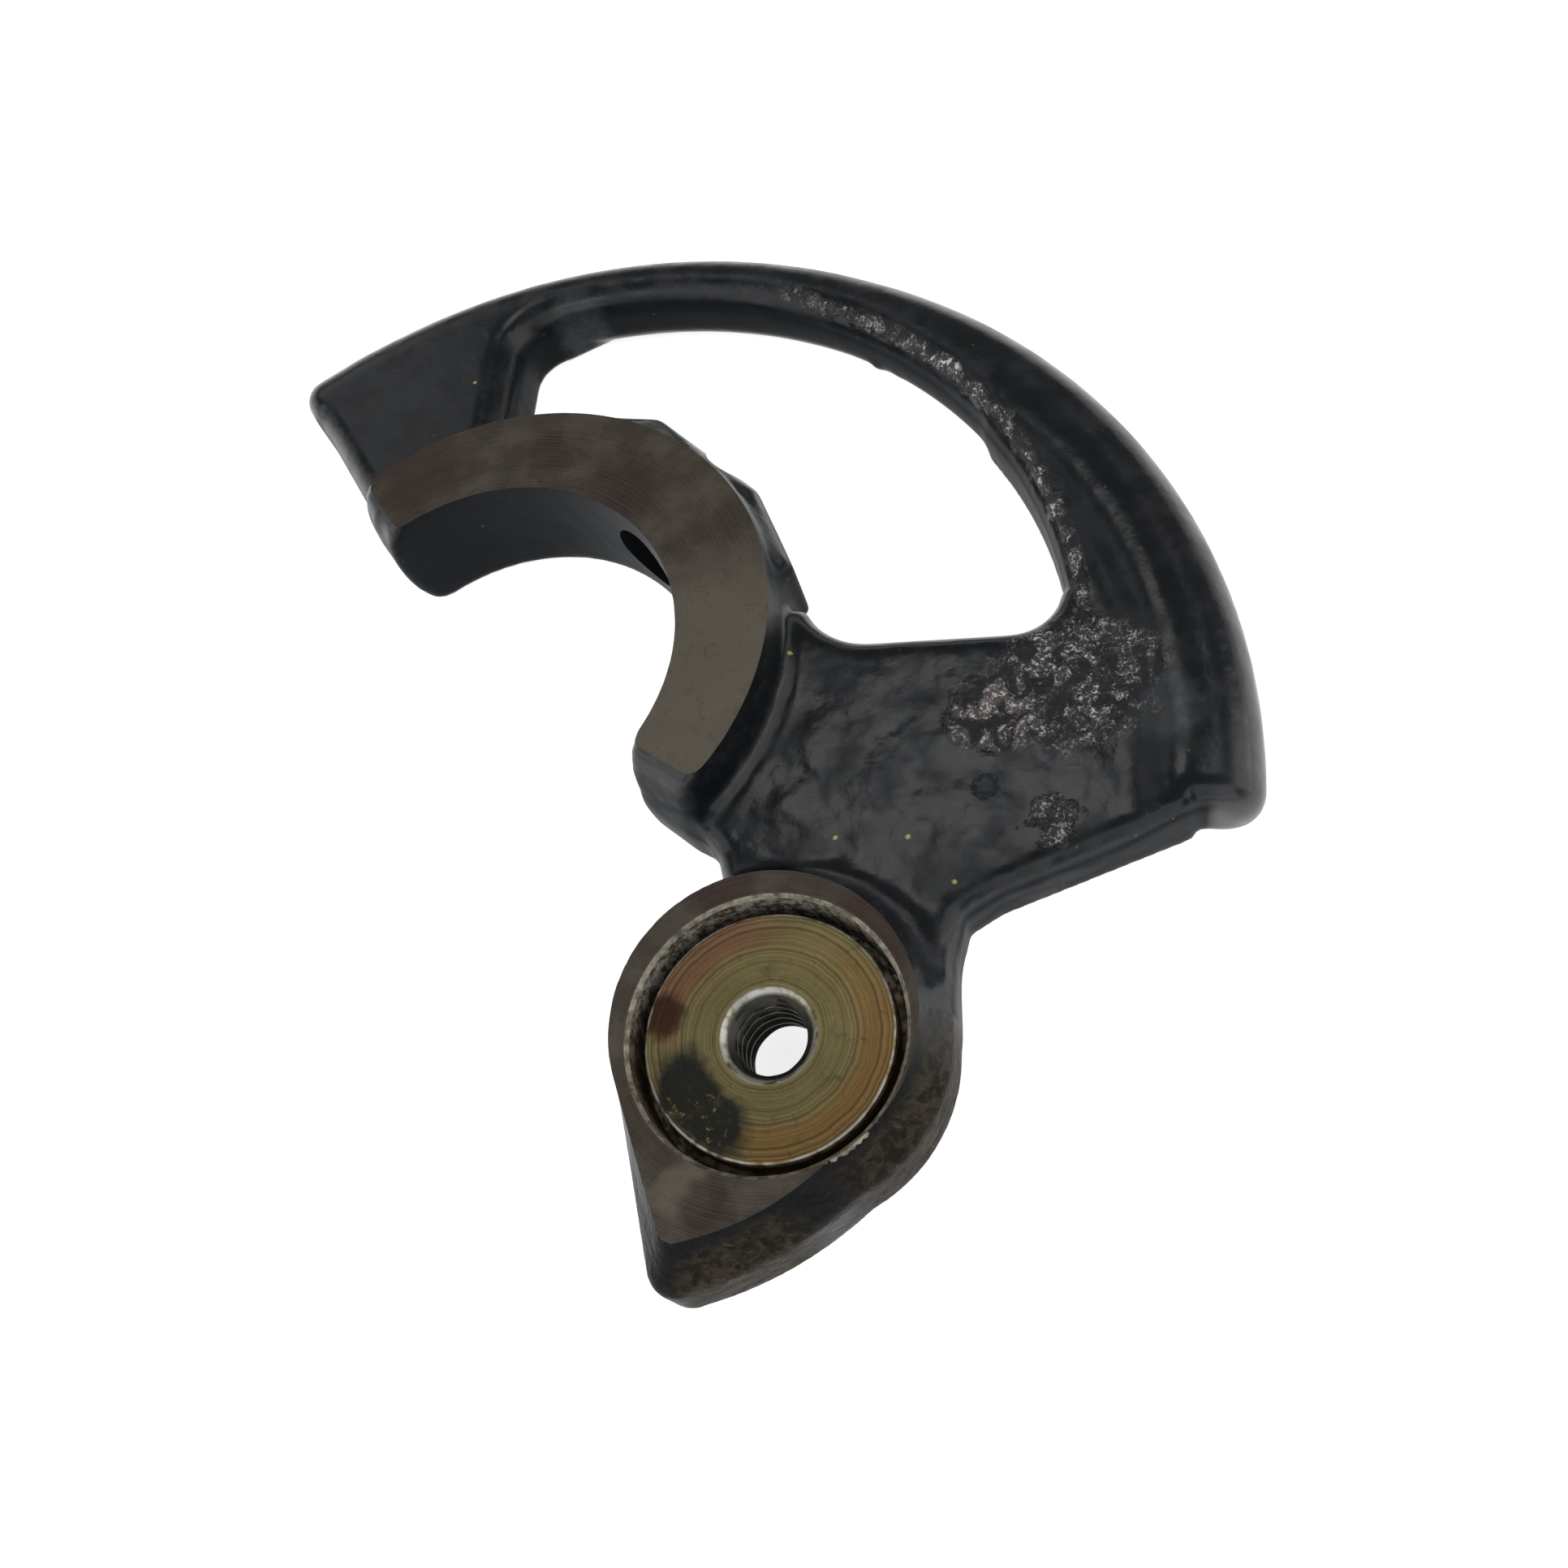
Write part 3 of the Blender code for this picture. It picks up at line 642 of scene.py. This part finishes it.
class Nodes:
    """One material's node tree, with short calls for the nodes it is made of."""

    def __init__(self, name):
        self.material = bpy.data.materials.new(name)
        self.material.use_nodes = True
        self.tree = self.material.node_tree
        self.shader = self.tree.nodes["Principled BSDF"]
        place = self.add("ShaderNodeMapping", Vector=self.add("ShaderNodeTexCoord").outputs["Object"])
        place.inputs["Scale"].default_value = (1 / MM, 1 / MM, 1 / MM)
        place.inputs["Location"].default_value = (-PIVOT.x / MM, -PIVOT.y / MM, 0.0)
        self.point = place.outputs[0]
        parts = self.add("ShaderNodeSeparateXYZ", Vector=self.point)
        self.x, self.y, self.z = parts.outputs

    def add(self, kind, settings=None, **inputs):
        """A node, with its inputs linked to sockets or set to values."""
        node = self.tree.nodes.new(kind)
        for key, value in (settings or {}).items():
            setattr(node, key, value)
        for key, value in inputs.items():
            self.feed(node.inputs[key.replace("_", " ")], value)
        return node

    def feed(self, socket, value):
        """Link a socket, or set its value."""
        if isinstance(value, bpy.types.NodeSocket):
            self.tree.links.new(value, socket)
        else:
            socket.default_value = value

    def math(self, operation, *values):
        """A Math node's result."""
        node = self.add("ShaderNodeMath", {"operation": operation})
        for socket, value in zip(node.inputs, values):
            self.feed(socket, value)
        return node.outputs[0]

    def times(self, a, b):
        """A product."""
        return self.math("MULTIPLY", a, b)

    def most(self, a, b):
        """The larger of two values."""
        return self.math("MAXIMUM", a, b)

    def noise(self, scale, detail=4.0, rough=0.5, distortion=0.0, vector=None):
        """Noise with a number of waves to the millimetre."""
        node = self.add(
            "ShaderNodeTexNoise", Vector=vector or self.point, Scale=scale, Detail=detail,
            Roughness=rough, Distortion=distortion,
        )
        return node.outputs["Fac"]

    def rings(self, radius, scale, detail):
        """Noise that changes with the radius only, as turning marks do."""
        flat = {"noise_dimensions": "1D"}
        return self.add("ShaderNodeTexNoise", flat, W=radius, Scale=scale, Detail=detail).outputs["Fac"]

    def step(self, value, low, high):
        """0 below one level and 1 above another, with a smooth rise between."""
        node = self.add("ShaderNodeMapRange", {"interpolation_type": "SMOOTHSTEP"}, Value=value)
        node.inputs["From Min"].default_value = low
        node.inputs["From Max"].default_value = high
        return node.outputs[0]

    def mix(self, share, a, b):
        """A blend of two colours."""
        node = self.add("ShaderNodeMix", {"data_type": "RGBA"})
        self.feed(node.inputs["Factor"], share)
        for socket, value in ((node.inputs[6], a), (node.inputs[7], b)):
            self.feed(socket, value if isinstance(value, bpy.types.NodeSocket) else (*value, 1.0))
        return node.outputs[2]

    def tint(self, colour, share, strength, other):
        """A colour turned towards another where the share is 1, by a strength."""
        return self.mix(self.times(share, strength), colour, other)

    def between(self, share, low, high):
        """A value that goes from one number to another as the share goes from 0 to 1."""
        return self.math("MULTIPLY_ADD", share, high - low, low)

    def away(self, centre, wobble=0.0, scale=1.0):
        """Distance in the plane from a point, made uneven by noise."""
        flat = self.add("ShaderNodeCombineXYZ", X=self.x, Y=self.y).outputs[0]
        spot = self.add("ShaderNodeVectorMath", {"operation": "DISTANCE"})
        self.feed(spot.inputs[0], flat)
        spot.inputs[1].default_value = (centre[0], centre[1], 0.0)
        distance = spot.outputs["Value"]
        if wobble:
            shift = self.math("MULTIPLY_ADD", self.noise(scale), 2 * wobble, -wobble)
            distance = self.math("ADD", distance, shift)
        return distance

    def patch(self, centre, radius, wobble=0.5, scale=1.0):
        """1 inside a ragged round patch and 0 outside it."""
        soft = PATCH_SOFTNESS * radius
        inside = self.math("SUBTRACT", radius, self.away(centre, wobble, scale))
        return self.step(inside, -soft, soft)

    def steep(self):
        """1 on upright walls and 0 on faces that look up or down."""
        normal = self.add("ShaderNodeNewGeometry").outputs["Normal"]
        lean = self.add("ShaderNodeSeparateXYZ", Vector=normal)
        return self.step(self.math("ABSOLUTE", lean.outputs[2]), 0.62, 0.2)

    def bump(self, height, distance, normal=None):
        """A normal bent by a height, in millimetres, that the noise gives."""
        node = self.add("ShaderNodeBump", Height=height, Distance=distance * MM)
        if normal:
            self.feed(node.inputs["Normal"], normal)
        return node.outputs[0]

    def finish(self, colour, rough, normal=None, metallic=0.0):
        """Connect the shader."""
        self.feed(self.shader.inputs["Base Color"], colour)
        self.feed(self.shader.inputs["Roughness"], rough)
        self.feed(self.shader.inputs["Metallic"], metallic)
        if normal:
            self.feed(self.shader.inputs["Normal"], normal)
        return self.material


def enamel_material():
    """Thick glossy black enamel over the rough casting, with specks, a stain, crinkled patches with
    painted sheen and glints, a painted highlight along the window's edge, and painted sheen on the web,
    rim and tip.
    """
    n = Nodes("black enamel")
    cloud = n.noise(0.16, 3.0)
    colour = n.mix(cloud, ENAMEL_BLACK, ENAMEL_BLUE)

    # The outer side of the rim, and every other upright wall.
    outside = n.step(n.away(GRIP_CENTRE), GRIP_RADIUS - 4.2, GRIP_RADIUS - 3.0)
    wall = n.times(n.steep(), n.math("SUBTRACT", 1.0, outside))

    # Crinkled patches on the web, lightened with painted sheen and glints, and a painted highlight along
    # the window's wrinkled edge.
    blotch = n.step(n.noise(0.55, 4.0, 0.7, 0.8), 0.44, 0.6)
    right = n.patch(*CRINKLE_RIGHT)
    left = n.patch(*CRINKLE_LEFT)
    low = n.patch(*CRINKLE_LOW)
    patch = n.most(n.most(right, left), n.times(low, 0.6))
    off_line = n.math("SUBTRACT", n.away(WINDOW_CENTRE, 0.7, 0.5), WINDOW_RADIUS + 1.3)
    off_line = n.math("ABSOLUTE", off_line)
    # The line along the window's edge is a painted highlight on its rounding, over real wrinkles.
    wrinkled_edge_highlight = n.times(n.step(off_line, 0.75, 0.15), n.step(n.x, -10.0, 6.0))
    wrinkled_edge_highlight = n.times(wrinkled_edge_highlight, n.step(n.y, 33.0, 38.0))
    crinkle_and_sheen = n.times(n.most(patch, wrinkled_edge_highlight), blotch)
    sparkle = n.step(n.noise(2.2, 4.0, 0.8, 1.2), 0.52, 0.6)
    glint = n.times(crinkle_and_sheen, sparkle)
    # Painted sheen and glints on the crinkles and along the window's edge.
    colour = n.tint(colour, crinkle_and_sheen, 0.5, CRINKLE_SHEEN_GREY)
    colour = n.mix(n.times(left, n.times(blotch, 0.5)), colour, CRINKLE_BROWN)
    colour = n.mix(glint, colour, CRINKLE_GLINT)

    # Painted sheen on the web, rim and tip, and a stain.
    on_web = n.times(n.step(n.y, 36.0, 28.0), n.step(n.away(GRIP_CENTRE), 46.0, 42.0))
    # Lighter patches on the web: painted sheen.
    web_sheen = n.times(n.step(n.noise(0.35, 5.0, 0.65, 1.2), 0.45, 0.75), on_web)
    colour = n.tint(colour, web_sheen, 0.3, ENAMEL_WEB_SHEEN)
    sheen = n.times(n.patch(*RIM_SHEEN), n.noise(0.7, 3.0))
    sheen = n.most(sheen, n.times(n.patch(*TIP_SHEEN), n.noise(0.8, 3.0)))
    colour = n.mix(sheen, colour, ENAMEL_SHEEN)
    stain = n.patch(*STAIN)
    colour = n.tint(colour, stain, 0.8, STAIN_BLACK)

    # Yellow flecks and fine dust.
    for spot in FLECKS:
        colour = n.mix(n.patch(spot, 0.17, 0.16, 5.0), colour, FLECK_YELLOW)
    specks = n.add("ShaderNodeTexVoronoi", Vector=n.point, Scale=0.75)
    pick = n.add("ShaderNodeSeparateColor", Color=specks.outputs["Color"]).outputs[0]
    chosen = n.step(pick, 0.8, 0.86)
    dust = n.times(n.step(specks.outputs["Distance"], 0.11, 0.05), chosen)
    colour = n.tint(colour, dust, 0.6, DUST_BROWN)

    # Gloss, and the unevenness under the enamel.
    dull = n.step(n.noise(0.3, 4.0), 0.4, 0.75)
    rough = n.between(n.most(n.most(dull, crinkle_and_sheen), wall), 0.2, 0.4)
    waves = n.times(n.noise(0.2, 2.0), n.math("MULTIPLY_ADD", on_web, 0.6, 0.4))
    normal = n.bump(waves, 0.4)
    normal = n.bump(n.noise(1.1, 2.0), 0.025, normal)
    dent = n.patch(*DENT)
    normal = n.bump(n.times(dent, -1.0), 0.14, normal)
    rumple = n.times(n.most(patch, wrinkled_edge_highlight), n.noise(1.4, 4.0, 0.7, 0.4))
    normal = n.bump(rumple, 0.22, normal)
    gloss = n.math("MULTIPLY_ADD", wall, -0.4, 0.45)
    n.feed(n.shader.inputs["Specular IOR Level"], n.math("MULTIPLY_ADD", outside, 0.25, gloss))
    return n.finish(colour, rough, normal)


def bare_iron(name, centre, patches, bright):
    """A machined iron face gone brown, with turning marks round a centre and a brighter side."""
    n = Nodes(name)
    radius = n.away(centre)
    cloud = n.step(n.noise(0.3, 5.0, 0.6), 0.35, 0.7)
    colour = n.mix(cloud, IRON_BROWN, IRON_GREY)
    shine = n.patch(bright[0], bright[1], 3.0, 0.2)
    colour = n.tint(colour, shine, 0.7, IRON_BRIGHT)
    for spot, size in patches:
        share = n.times(n.patch(spot, size, 1.6, 0.5), 0.75)
        colour = n.mix(share, colour, IRON_RUST)
    marks = n.rings(radius, 11.0, 5.0)
    colour = n.tint(colour, n.step(marks, 0.4, 0.75), 0.3, IRON_MARK)
    smear = n.step(n.noise(0.9, 6.0, 0.75, 0.8), 0.52, 0.7)
    colour = n.tint(colour, smear, 0.4, IRON_SMEAR)
    pits = n.step(n.noise(2.1, 2.0, 0.6), 0.26, 0.2)
    colour = n.mix(pits, colour, IRON_PIT)
    rough = n.between(n.noise(1.2, 4.0), 0.4, 0.62)
    normal = n.bump(marks, 0.012)
    normal = n.bump(n.noise(3.5, 3.0), 0.02, normal)
    return n.finish(colour, rough, normal, 0.8)


def worn_wall_material():
    """The boss's side and nose, with the enamel worn away to brown iron."""
    n = Nodes("worn boss wall")
    mottle = n.step(n.noise(0.9, 5.0, 0.7, 0.5), 0.4, 0.62)
    bare = n.mix(mottle, WALL_DARK, WALL_BROWN)
    scratch = n.add("ShaderNodeMapping", Vector=n.point)
    scratch.inputs["Rotation"].default_value = (0.0, 0.0, math.radians(SCRATCH_ANGLE))
    scratch.inputs["Scale"].default_value = (0.6, 5.0, 1.0)
    marks = n.step(n.noise(0.8, 3.0, 0.6, vector=scratch.outputs[0]), 0.6, 0.7)
    bare = n.tint(bare, marks, 0.5, WALL_SCRATCH)
    side = n.patch(*WORN_SIDE)
    nose = n.patch(*WORN_NOSE)
    foot = n.patch(*KEPT_FOOT)
    worn = n.times(n.most(side, nose), n.math("SUBTRACT", 1.0, foot))
    worn = n.times(worn, n.step(n.z, 8.2, 7.2))
    colour = n.mix(worn, ENAMEL_THIN, bare)
    rough = n.between(worn, 0.34, 0.6)
    normal = n.bump(n.noise(0.5, 3.0), 0.25)
    normal = n.bump(n.noise(2.4, 4.0), 0.08, normal)
    glossy = n.step(n.y, -4.0, 2.0)
    gloss = n.times(n.math("MULTIPLY_ADD", n.steep(), -0.32, 0.36), glossy)
    n.feed(n.shader.inputs["Specular IOR Level"], n.math("ADD", gloss, 0.08))
    return n.finish(colour, rough, normal)


def pocket_material():
    """The pocket's wall: old bright metal under brown stain."""
    n = Nodes("pocket iron")
    mottle = n.step(n.noise(1.3, 5.0, 0.65), 0.42, 0.62)
    upper = n.step(n.y, -3.0, 4.0)
    silver = n.mix(upper, POCKET_TAN, POCKET_SILVER)
    colour = n.mix(mottle, POCKET_BROWN, silver)
    rough = n.between(mottle, 0.6, 0.42)
    return n.finish(colour, rough, n.bump(n.noise(3.0), 0.04), 0.6)


def edge_material():
    """A machined edge worn bright."""
    n = Nodes("worn edge")
    wear = n.step(n.noise(1.4, 4.0, 0.6), 0.35, 0.65)
    colour = n.mix(wear, EDGE_DARK, EDGE_BRIGHT)
    return n.finish(colour, 0.45, n.bump(n.noise(4.0), 0.02), 0.8)


def bush_material():
    """Yellow passivated steel, worn, with rings and coloured and dark patches, and its worn edges
    lightened as a painted highlight.
    """
    n = Nodes("yellow passivated steel")
    radius = n.away((0.0, 0.0))
    cloud = n.noise(0.35, 4.0, 0.6)
    gold = n.mix(cloud, GOLD_DARK, GOLD_LIGHT)

    # Orange and red towards the rim of the head.
    outer = n.step(n.away((0.0, 0.0), 0.8, 0.4), 5.9, 7.2)
    red = n.times(outer, n.patch(*BUSH_RED))
    orange = n.times(outer, n.patch(*BUSH_ORANGE))
    colour = n.tint(gold, orange, 0.85, GOLD_ORANGE)
    colour = n.tint(colour, red, 0.85, GOLD_RED)

    # Turning marks, smudges and dark patches.
    marks = n.rings(n.away((0.0, 0.0), 0.16, 0.6), 4.2, 7.0)
    colour = n.tint(colour, n.step(marks, 0.48, 0.75), 0.35, GOLD_MARK)
    colour = n.tint(colour, n.step(marks, 0.46, 0.3), 0.5, GOLD_GROOVE)
    black = n.most(n.patch(*BUSH_BLACK), n.patch(*BUSH_BLACK_LOW))
    black = n.times(black, n.step(n.away((0.0, 0.0), 0.9, 0.7), 4.2, 5.4))
    smudge = n.step(n.noise(0.8, 6.0, 0.7, 1.0), 0.54, 0.74)
    colour = n.tint(colour, smudge, 0.6, GOLD_SMUDGE)
    colour = n.tint(colour, black, 0.95, HEAD_BLACK)
    brown = n.patch(*BUSH_BROWN)
    colour = n.tint(colour, brown, 0.9, HEAD_BROWN)
    fleck = n.step(n.noise(1.7, 4.0, 0.7), 0.6, 0.66)
    yellow = n.times(n.patch(*BUSH_YELLOW), fleck)
    colour = n.tint(colour, yellow, 0.8, GOLD_FLECK)

    # The head's edge and the hole's, worn to bare steel and lightened as a painted highlight, and the dull
    # thread.
    rim = n.most(n.step(radius, HEAD_RADIUS - 0.3, HEAD_RADIUS - 0.1), n.step(radius, 3.62, 3.4))
    worn = n.times(rim, n.step(n.noise(1.2, 4.0), 0.3, 0.6))
    top = n.step(n.z, BUSH_TOP - 0.8, BUSH_TOP - 0.3)
    colour = n.mix(n.times(worn, top), colour, HEAD_WORN_HIGHLIGHT)
    inside = n.step(radius, THREAD_MAJOR + 0.1, THREAD_MAJOR)
    inside = n.times(inside, n.step(n.z, BUSH_TOP - 0.2, BUSH_TOP - 0.5))
    colour = n.mix(inside, colour, THREAD_GREY)

    rough = n.between(n.noise(1.0, 4.0), 0.3, 0.5)
    rough = n.most(rough, n.times(black, 0.6))
    normal = n.bump(marks, 0.02)
    normal = n.bump(n.noise(3.0, 3.0), 0.015, normal)
    return n.finish(colour, rough, normal, 0.85)


def washer_material():
    """Plain dull steel, dark with old grease."""
    n = Nodes("plain steel")
    grease = n.step(n.noise(0.9, 4.0), 0.4, 0.65)
    colour = n.mix(grease, WASHER_STEEL, WASHER_GREASE)
    return n.finish(colour, n.between(grease, 0.45, 0.7), n.bump(n.noise(3.0), 0.02), 0.7)


def floor_material():
    """A plain pale floor."""
    n = Nodes("pale floor")
    colour = n.mix(n.noise(0.004, 2.0), FLOOR_DARK, FLOOR_LIGHT)
    n.feed(n.shader.inputs["Emission Color"], (1.0, 1.0, 1.0, 1.0))
    fade = n.step(n.z, 10.0, 160.0)
    n.feed(n.shader.inputs["Emission Strength"], n.between(fade, FLOOR_GLOW, WALL_GLOW))
    return n.finish(colour, 0.75)


def dress_lever(lever):
    """Give each face of the lever its material, by where it is and how it leans."""
    mesh = lever.data
    mesh.materials.clear()
    for finish in (
        enamel_material(),
        bare_iron("hook iron", HOOK_CENTRE, HOOK_PATCHES, HOOK_BRIGHT),
        bare_iron("boss iron", (0.0, 0.0), BOSS_PATCHES, BOSS_BRIGHT),
        pocket_material(),
        edge_material(),
        worn_wall_material(),
    ):
        mesh.materials.append(finish)
    count = len(mesh.polygons)
    spot = np.zeros(count * 3)
    face = np.zeros(count * 3)
    mesh.polygons.foreach_get("center", spot)
    mesh.polygons.foreach_get("normal", face)
    x, y, z = (spot.reshape(-1, 3) / MM - np.array((PIVOT.x, PIVOT.y, 0.0)) / MM).T
    up = face.reshape(-1, 3)[:, 2]
    from_pivot = np.hypot(x, y)
    from_hook = np.hypot(x - HOOK_CENTRE[0], y - HOOK_CENTRE[1])
    kind = np.full(count, ENAMEL)
    kind[(y < 2.0) & (x + 0.4 * y < 16.0) & (z < BOSS_TOP)] = WORN_WALL
    kind[z > HOOK_TOP - 0.01] = HOOK_FACE
    below_face = z < BOSS_TOP - 0.02
    kind[~below_face & (up > 0.99) & (z < BOSS_TOP + 0.02) & (y < 13.0)] = BOSS_FACE_IRON
    kind[below_face & (from_pivot < POCKET_RADIUS + 0.05) & (z > 0.05)] = POCKET_WALL
    slanted = (up > 0.2) & (up < 0.95)
    kind[slanted & (z > HOOK_TOP - 0.2) & (from_hook < HOOK_BORE + 0.2)] = WORN_EDGE
    chamfer = (z > BOSS_TOP - POCKET_CHAMFER - 0.01) & (from_pivot < POCKET_RADIUS + POCKET_CHAMFER + 0.05)
    kind[slanted & chamfer] = WORN_EDGE
    mesh.polygons.foreach_set("material_index", kind.astype(np.int32))


def stage_floor(material):
    """The pale floor the lever lies on, swept up into a low wall all round."""
    sides = FLOOR_SIDES
    points = []
    for radius, height in FLOOR_PROFILE:
        points += [(*polar(radius, 360.0 * i / sides), height) for i in range(sides)]
    faces = [tuple(range(sides))]
    for ring in range(len(FLOOR_PROFILE) - 1):
        for i in range(sides):
            a, b = ring * sides + i, ring * sides + (i + 1) % sides
            faces.append((a, a + sides, b + sides, b))
    mesh = bpy.data.meshes.new("floor")
    mesh.from_pydata(points, [], faces)
    floor = placed("floor", mesh)
    floor.data.materials.append(material)
    shade(floor, FLOOR_SHARP_EDGE)


def area_light(name, place, target, size, power):
    """A soft square light aimed at a point."""
    data = bpy.data.lights.new(name, "AREA")
    data.shape = "SQUARE"
    data.size = size
    data.energy = power
    lamp = placed(name, data)
    lamp.location = place
    aim = Vector(target) - Vector(place)
    lamp.rotation_euler = aim.to_track_quat("-Z", "Y").to_euler()


def make_camera():
    """The camera at the viewing angle of the real picture."""
    data = bpy.data.cameras.new("camera")
    data.sensor_width = 36.0
    data.lens = LENS
    data.clip_start = 0.005
    camera = placed("camera", data)
    turn = Matrix((CAMERA_RIGHT, -CAMERA_DOWN, -CAMERA_FORWARD)).transposed()
    camera.rotation_euler = turn.to_euler()
    x, y, z = CAMERA_PLACE
    camera.location = (PIVOT.x + x * MM, PIVOT.y + y * MM, (z + BOSS_TOP) * MM)
    bpy.context.scene.camera = camera


def light_studio():
    """Wide soft lights in a dim surround, and two weak ones that the web and the tip mirror."""
    for light in LIGHTS:
        area_light(*light)
    world = bpy.data.worlds.new("studio")
    bpy.context.scene.world = world
    world.use_nodes = True
    background = world.node_tree.nodes["Background"]
    background.inputs["Color"].default_value = (1.0, 1.0, 1.0, 1.0)
    background.inputs["Strength"].default_value = SURROUND
    bpy.context.scene.view_settings.view_transform = "Standard"


lever = build_lever()
dress_lever(lever)
shade(lever, SHARP_EDGE)
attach(lever, "lever")
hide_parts("lever_casting")

bush = build_bush()
bush.data.materials.append(bush_material())
shade(bush, SHARP_EDGE)
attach(bush, "pivot")
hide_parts("pivot_bush")

washer = frame["nodes"]["thrust_washer"]
washer.data.materials.clear()
washer.data.materials.append(washer_material())

stage_floor(floor_material())
light_studio()
make_camera()
